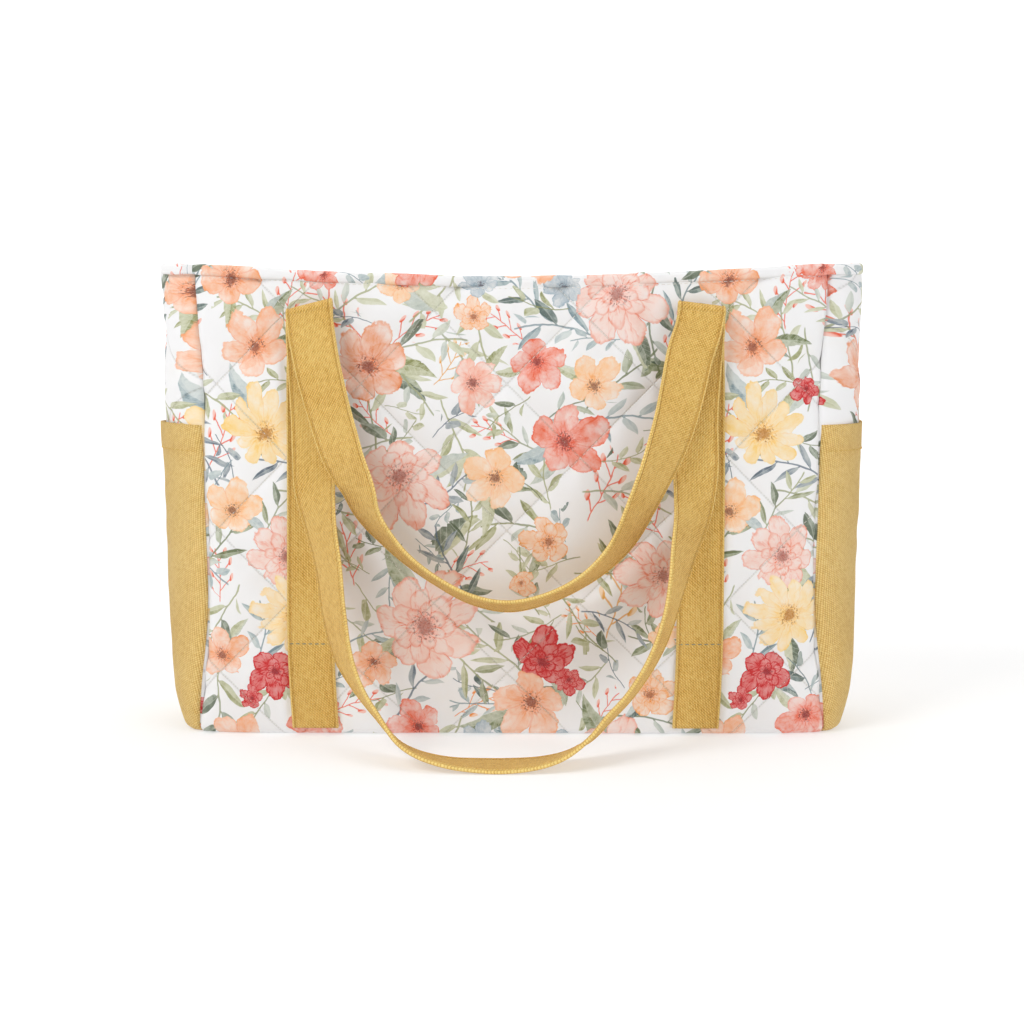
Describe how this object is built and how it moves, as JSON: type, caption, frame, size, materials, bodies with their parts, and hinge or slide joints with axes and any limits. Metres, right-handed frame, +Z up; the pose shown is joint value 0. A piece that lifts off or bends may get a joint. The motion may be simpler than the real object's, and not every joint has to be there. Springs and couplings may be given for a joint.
{
  "type": "knitting bag",
  "caption": "Quilted cotton tote for knitting, with bulging gussets, canvas side pockets and nested short and long webbing handles on each face.",
  "frame": {"origin": "centre of the flat bottom, on the surface the bag stands on", "axes": "+X to the bag's right as seen from the front, +Z up, the front faces -Y"},
  "size_m": [0.4634, 0.3078, 0.3063],
  "materials": {
    "floral_cotton": "quilted woven cotton with an all-over painted-flower print on near white, diamond stitched over thin wadding",
    "yellow_canvas": "mustard yellow basket-weave canvas webbing and cloth, matt",
    "lining_cotton": "plain unbleached cotton, matt",
    "base_board": "stiff pressed board"
  },
  "bodies": {
    "root": {"front_panel": "floral_cotton", "back_panel": "floral_cotton", "left_gusset": "floral_cotton", "right_gusset": "floral_cotton", "base_panel": "floral_cotton", "top_binding": "floral_cotton", "left_side_pocket": "yellow_canvas", "right_side_pocket": "yellow_canvas", "front_left_strap": "yellow_canvas", "front_right_strap": "yellow_canvas", "back_left_strap": "yellow_canvas", "back_right_strap": "yellow_canvas", "lining_front": "lining_cotton", "lining_back": "lining_cotton", "lining_left": "lining_cotton", "lining_right": "lining_cotton", "lining_base": "lining_cotton", "base_board": "base_board"},
    "front_long_handle": {"front_long_handle": "yellow_canvas"},
    "front_short_handle": {"front_short_handle": "yellow_canvas"},
    "back_long_handle": {"back_long_handle": "yellow_canvas"},
    "back_short_handle": {"back_short_handle": "yellow_canvas"}
  },
  "joints": [
    {"name": "front_long_fold", "type": "hinge", "parent": "root", "child": "front_long_handle", "pos_m": [0, -0.058, 0.273], "axis": [-1, 0, 0], "range_deg": [0, 143]},
    {"name": "front_short_fold", "type": "hinge", "parent": "root", "child": "front_short_handle", "pos_m": [0, -0.058, 0.273], "axis": [-1, 0, 0], "range_deg": [0, 154.44]},
    {"name": "back_long_fold", "type": "hinge", "parent": "root", "child": "back_long_handle", "pos_m": [0, 0.058, 0.273], "axis": [1, 0, 0], "range_deg": [0, 143]},
    {"name": "back_short_fold", "type": "hinge", "parent": "root", "child": "back_short_handle", "pos_m": [0, 0.058, 0.273], "axis": [1, 0, 0], "range_deg": [0, 154.44]}
  ],
  "couplings": [
    {"joint": "front_short_fold", "follows": "front_long_fold", "ratio": 1.08},
    {"joint": "back_short_fold", "follows": "back_long_fold", "ratio": 1.08}
  ]
}
